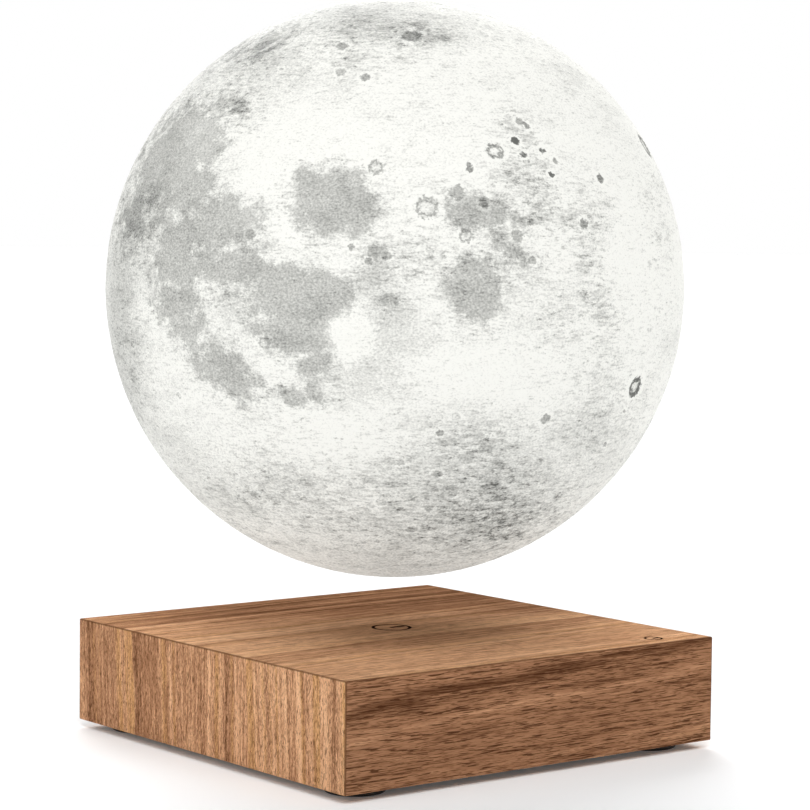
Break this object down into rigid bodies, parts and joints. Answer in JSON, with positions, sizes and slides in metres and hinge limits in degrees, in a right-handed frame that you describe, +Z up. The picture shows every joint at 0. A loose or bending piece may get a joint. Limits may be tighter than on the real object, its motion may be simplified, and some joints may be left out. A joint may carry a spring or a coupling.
{
  "type": "levitating moon lamp",
  "caption": "Printed moon globe lamp that floats by magnetic levitation over a low square walnut base with a touch mark, a power inlet and rubber feet.",
  "frame": {"origin": "on the table, under the middle of the square base", "axes": "+Z up along the spin axis of the moon, -Y the front of the base with the touch mark, +Y the back with the power inlet, +X to the right"},
  "size_m": [0.1797, 0.18, 0.2313],
  "materials": {
    "walnut": "oiled walnut",
    "dark_rubber": "matte",
    "black_plastic": "matte",
    "white_plastic": "matte",
    "printed_moon": "printed in fine layers, lit from inside",
    "circuit_green": "solder mask",
    "circuit_white": "white solder mask",
    "chip_black": "moulded",
    "ferrite": "sintered, dull",
    "copper": "enamelled copper wire",
    "brass": "plain",
    "steel": "zinc plated",
    "nickel_plate": "nickel plated magnet",
    "capacitor_blue": "shrink sleeve",
    "red_wire": "insulation",
    "black_wire": "insulation",
    "led_yellow": "phosphor"
  },
  "bodies": {
    "base": {"wood_body": "walnut", "bottom_cover": "black_plastic", "cover_screw_1": "steel", "cover_screw_2": "steel", "cover_screw_3": "steel", "cover_screw_4": "steel", "foot_front_left": "dark_rubber", "foot_front_right": "dark_rubber", "foot_back_right": "dark_rubber", "foot_back_left": "dark_rubber", "module_board": "circuit_green", "module_screw_1": "steel", "module_screw_2": "steel", "module_screw_3": "steel", "module_screw_4": "steel", "pole_yoke": "steel", "ring_magnet": "ferrite", "power_coil_sheet": "ferrite", "power_coil": "copper", "module_top_plate": "black_plastic", "coil_bobbin_1": "white_plastic", "coil_bobbin_2": "white_plastic", "coil_bobbin_3": "white_plastic", "coil_bobbin_4": "white_plastic", "coil_winding_1": "copper", "coil_winding_2": "copper", "coil_winding_3": "copper", "coil_winding_4": "copper", "hall_board": "circuit_green", "hall_sensor": "chip_black", "filter_capacitor": "capacitor_blue", "module_choke": "ferrite", "controller_chip": "chip_black", "power_connector": "white_plastic", "inlet_body": "black_plastic", "inlet_pin": "brass", "inlet_contact": "brass", "inlet_screw_1": "steel", "inlet_screw_2": "steel", "lead_red": "red_wire", "lead_black": "black_wire", "touch_pad": "copper", "touch_board": "circuit_green", "touch_lead": "black_wire"},
    "float": {"float_magnet": "nickel_plate", "float_back_plate": "steel"},
    "moon": {"moon_shell": "printed_moon", "bottom_cup": "white_plastic", "receiver_coil": "copper", "receiver_sheet": "ferrite", "receiver_lead": "copper", "led_board": "circuit_white", "led_ring": "led_yellow", "rectifier_chip": "chip_black", "moon_capacitor": "capacitor_blue", "moon_choke": "ferrite", "led_board_screw_1": "steel", "led_board_screw_2": "steel", "led_board_screw_3": "steel"}
  },
  "joints": [
    {"name": "levitation", "type": "slide", "parent": "base", "child": "float", "axis": [0, 0, 1], "range_m": [-0.016, 0.1], "stiffness_N_per_m": 120, "springref_m": 0.0281},
    {"name": "moon_spin", "type": "hinge", "parent": "float", "child": "moon", "pos_m": [0, 0, 0.1413], "axis": [0, 0, 1], "continuous": true}
  ]
}
